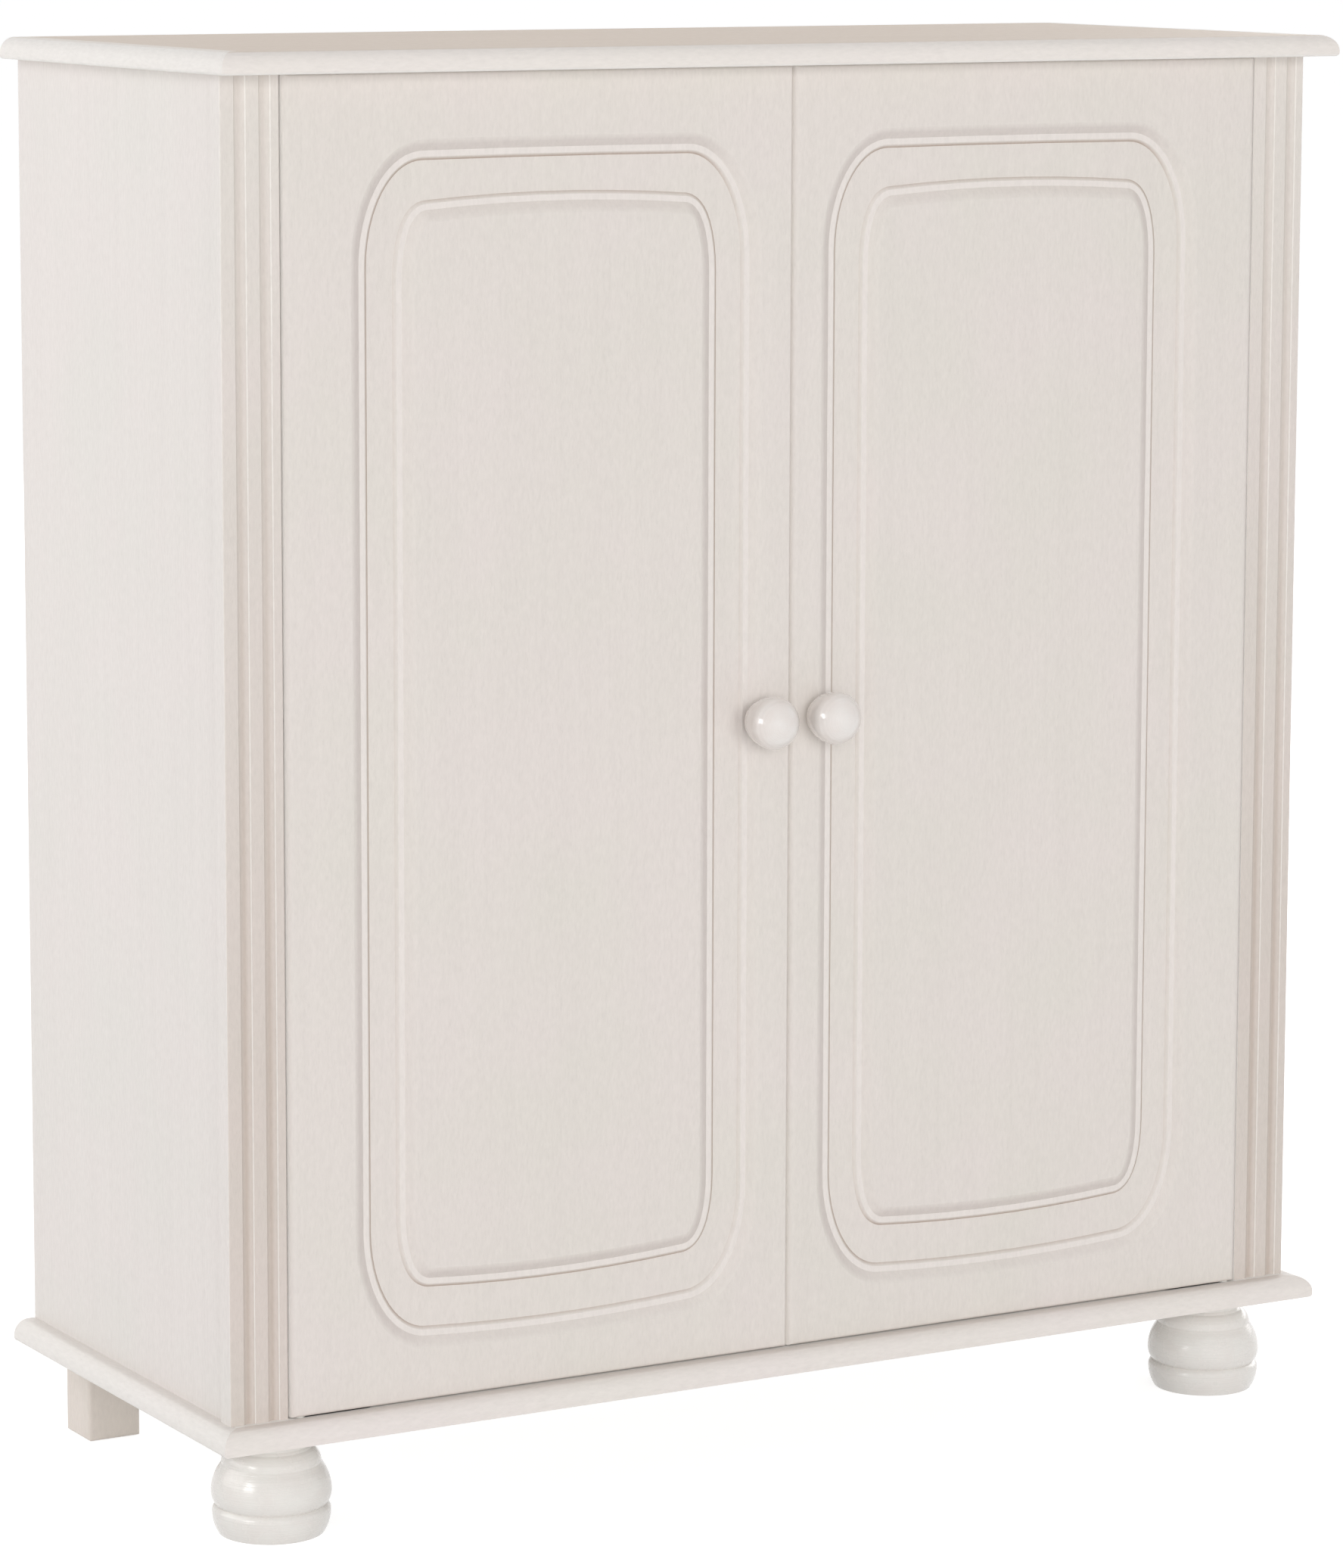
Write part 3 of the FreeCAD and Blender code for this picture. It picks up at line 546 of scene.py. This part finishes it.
def shelf_board():
    """Coated shelf: a pale print of grain along the shelf."""
    graph = material_graph("shelf_board")
    shade = paint_shade(graph, x_axis)
    colour = graph.drift(graph.noise(graph.place, shelf_clouds), shelf_white, shelf_cream)
    graph.set(Base_Color=graph.shaded(colour, shade), Roughness=shelf_roughness)
    graph.bump(shade, **shelf_bump)
    return graph.owner


def hardboard():
    """Pressed board: brown fibres behind, and a pale coat on the face inside the cabinet."""
    graph = material_graph("hardboard")
    fibres = graph.noise(graph.place, board_fibres, detail=4.0, roughness=0.7)
    blotches = graph.noise(graph.place, board_blotches)
    brown = graph.mix(graph.spread(fibres, 0.0, 1.0), linear(hardboard_brown), linear(hardboard_dark))
    brown = graph.shaded(brown, graph.spread(blotches, -blotch_shade, blotch_shade))
    pale = graph.shaded(linear(shelf_cream), graph.spread(blotches, -pale_blotch_shade, pale_blotch_shade))
    inside = graph.below(graph.facing(y_axis), inner_facing)
    graph.set(Base_Color=graph.mix(inside, brown, pale), Roughness=graph.spread(fibres, *board_roughness))
    graph.bump(fibres, **board_bump)
    return graph.owner


def beech():
    """Bare beech of the dowels."""
    graph = material_graph("beech")
    rays = graph.grain(y_axis, **beech_grain)
    graph.set(Base_Color=graph.drift(rays, beech_pale, beech_dark), Roughness=beech_roughness)
    graph.bump(rays, **beech_bump)
    return graph.owner


def steel():
    """Zinc-plated steel, with cloudy roughness."""
    graph = material_graph("steel")
    clouds = graph.noise(graph.place, steel_clouds, detail=4.0)
    graph.set(Base_Color=graph.shaded(linear(steel_grey), graph.spread(clouds, -steel_shade, steel_shade)))
    graph.set(Metallic=1.0, Roughness=graph.spread(clouds, *steel_roughness))
    return graph.owner


def moulded_plastic(name, colour, roughness):
    """Plain moulded plastic with a fine spark texture."""
    graph = material_graph(name)
    spark = graph.noise(graph.place, plastic_spark, detail=2.0)
    graph.set(Base_Color=graph.shaded(linear(colour), graph.spread(spark, -plastic_shade, plastic_shade)))
    graph.set(Roughness=graph.spread(spark, roughness - spark_roughness, roughness + spark_roughness))
    graph.bump(spark, **spark_bump)
    return graph.owner


def assign(material, names):
    """Gives one material to some nodes."""
    for name in names:
        slots = nodes[name].data.materials
        slots.clear()
        slots.append(material)


def dress():
    """Gives every node its material: the plain ones by their slot, and the painted ones by name."""
    by_slot = {part["node"]: part["material_slot"] for part in frame["record"]["subparts"]}
    plain = {
        "shelf_board": shelf_board(),
        "hardboard": hardboard(),
        "beech": beech(),
        "steel": steel(),
        "nylon": moulded_plastic("nylon", nylon_white, nylon_roughness),
        "catch_plastic": moulded_plastic("catch_plastic", plastic_white, catch_roughness),
        "magnet": moulded_plastic("magnet", magnet_grey, magnet_roughness),
    }
    for name in nodes:
        if by_slot[name] in plain:
            assign(plain[by_slot[name]], [name])
    assign(door_paint(), ["left_door", "right_door"])
    assign(painted("side_paint", z_axis, side_pink, side_grey), ["left_side_panel", "right_side_panel"])
    assign(pilaster_paint(), ["left_pilaster", "right_pilaster"])
    assign(painted("block_paint", z_axis, block_pink, block_grey), ["left_rear_foot", "right_rear_foot"])
    assign(top_paint(), ["top_board"])
    assign(base_paint(), ["base_board"])
    knob_paint = turned_paint("knob_paint", knob_white, knob_cream, knob_rings, **knob_varnish)
    assign(knob_paint, ["left_knob", "right_knob"])
    foot_paint = turned_paint("foot_paint", foot_white, foot_cream, foot_rings, **foot_varnish)
    assign(foot_paint, ["left_front_foot", "right_front_foot"])


def add_camera():
    """The camera, which looks straight down until it is turned."""
    data = bpy.data.cameras.new("camera")
    data.lens = camera_lens
    data.shift_y = camera_shift
    camera = bpy.data.objects.new("camera", data)
    camera.location = camera_place
    turns = (90 + camera_pitch, -camera_roll, -camera_yaw)
    camera.rotation_euler = [math.radians(turn) for turn in turns]
    bpy.context.scene.collection.objects.link(camera)
    bpy.context.scene.camera = camera


def add_lamp(name, place, width, height, power, diffuse=True, glossy=True):
    """A soft rectangular lamp aimed at the middle of the cabinet. It lights matt paint, gloss or both."""
    data = bpy.data.lights.new(name, "AREA")
    data.shape = "RECTANGLE"
    data.size = width
    data.size_y = height
    data.energy = power
    lamp = bpy.data.objects.new(name, data)
    lamp.location = place
    lamp.visible_diffuse = diffuse
    lamp.visible_glossy = glossy
    lamp.rotation_mode = "QUATERNION"
    lamp.rotation_quaternion = (Vector(light_target) - Vector(place)).to_track_quat("-Z", "Y")
    bpy.context.scene.collection.objects.link(lamp)


def add_world():
    """Soft light all round, more of it from above, and white where it is seen directly."""
    world = bpy.data.worlds.new("studio")
    graph = Graph(world, "Background")
    upward = graph.split(graph.direction, z_axis)
    rising = graph.ramp(upward, 0.0, 1.0, horizon_strength, zenith_strength)
    strength = graph.ramp(graph.seen_directly(), 0.0, 1.0, rising, 1.0)
    graph.set(Color=full_white, Strength=strength)
    bpy.context.scene.world = world


def add_floor():
    """A pale floor that lights the object a little from below, keeps its shadow and meets the white
    background."""
    mesh = bpy.data.meshes.new("floor")
    reach = floor_reach
    corners = [(-reach, -reach, 0), (reach, -reach, 0), (reach, reach, 0), (-reach, reach, 0)]
    mesh.from_pydata(corners, [], [(0, 1, 2, 3)])
    floor = bpy.data.objects.new("floor", mesh)
    bpy.context.scene.collection.objects.link(floor)
    graph = material_graph("floor")
    glow = graph.ramp(graph.seen_directly(), 0.0, 1.0, floor_lift, floor_glow)
    graph.set(Base_Color=(floor_grey, floor_grey, floor_grey, 1.0), Roughness=1.0, Specular_IOR_Level=0.0)
    graph.set(Emission_Color=full_white, Emission_Strength=glow)
    mesh.materials.append(graph.owner)


bpy.context.scene.view_settings.view_transform = "Standard"
add_world()
add_camera()
for lamp_name, lamp_values in lamps.items():
    add_lamp(lamp_name, **lamp_values)
add_floor()
dress()
